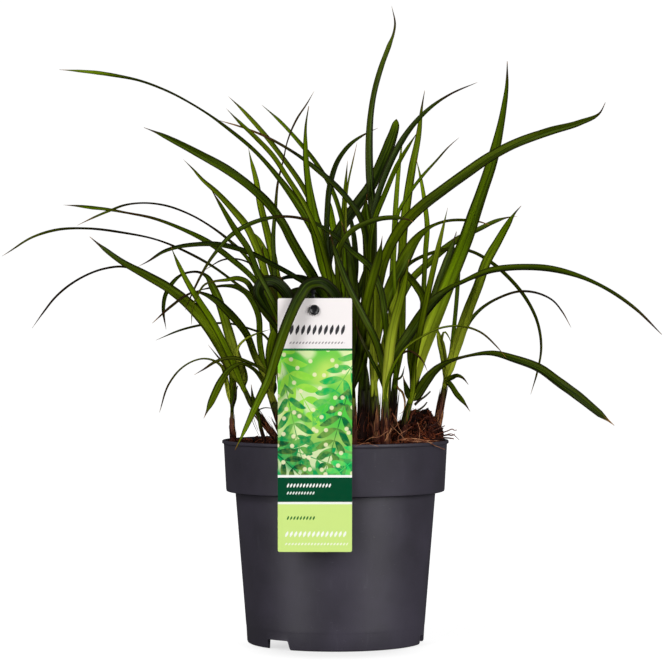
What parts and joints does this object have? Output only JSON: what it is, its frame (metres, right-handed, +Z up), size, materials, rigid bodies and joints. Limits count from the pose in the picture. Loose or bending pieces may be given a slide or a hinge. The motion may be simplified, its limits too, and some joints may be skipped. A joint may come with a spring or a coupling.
{
  "type": "potted carex sedge",
  "caption": "Clump of arching grass-like sedge blades in a round tapered nursery pot of growing medium, with a hang card on a stake in front of the rim.",
  "frame": {"origin": "on the pot's axis, in the plane of the flat pad under the pot that it stands on", "axes": "+Z up along the pot's axis, -Y towards the side with the hang card, +X to the right as seen from that side"},
  "size_m": [0.5513, 0.3607, 0.5425],
  "materials": {
    "pot": "moulded, slightly satin",
    "medium": "loose peat and fibre, rough",
    "card": "printed sheet, satin",
    "stake": "glossy",
    "blade": "leaf, satin",
    "sheath": "dry fibrous leaf base, matt"
  },
  "bodies": {
    "root": {"pot": "pot", "growing_medium": "medium", "hang_card": "card", "card_stake": "stake", "shoot_01_blades": "blade", "shoot_02_blades": "blade", "shoot_03_blades": "blade", "shoot_04_blades": "blade", "shoot_05_blades": "blade", "shoot_06_blades": "blade", "shoot_07_blades": "blade", "shoot_08_blades": "blade", "shoot_09_blades": "blade", "shoot_10_blades": "blade", "shoot_11_blades": "blade", "shoot_12_blades": "blade", "shoot_13_blades": "blade", "shoot_14_blades": "blade", "shoot_15_blades": "blade", "shoot_16_blades": "blade", "shoot_17_blades": "blade", "shoot_18_blades": "blade", "shoot_01_sheath": "sheath", "shoot_02_sheath": "sheath", "shoot_03_sheath": "sheath", "shoot_04_sheath": "sheath", "shoot_05_sheath": "sheath", "shoot_06_sheath": "sheath", "shoot_07_sheath": "sheath", "shoot_08_sheath": "sheath", "shoot_09_sheath": "sheath", "shoot_10_sheath": "sheath", "shoot_11_sheath": "sheath", "shoot_12_sheath": "sheath", "shoot_13_sheath": "sheath", "shoot_14_sheath": "sheath", "shoot_15_sheath": "sheath", "shoot_16_sheath": "sheath", "shoot_17_sheath": "sheath", "shoot_18_sheath": "sheath"}
  },
  "joints": []
}
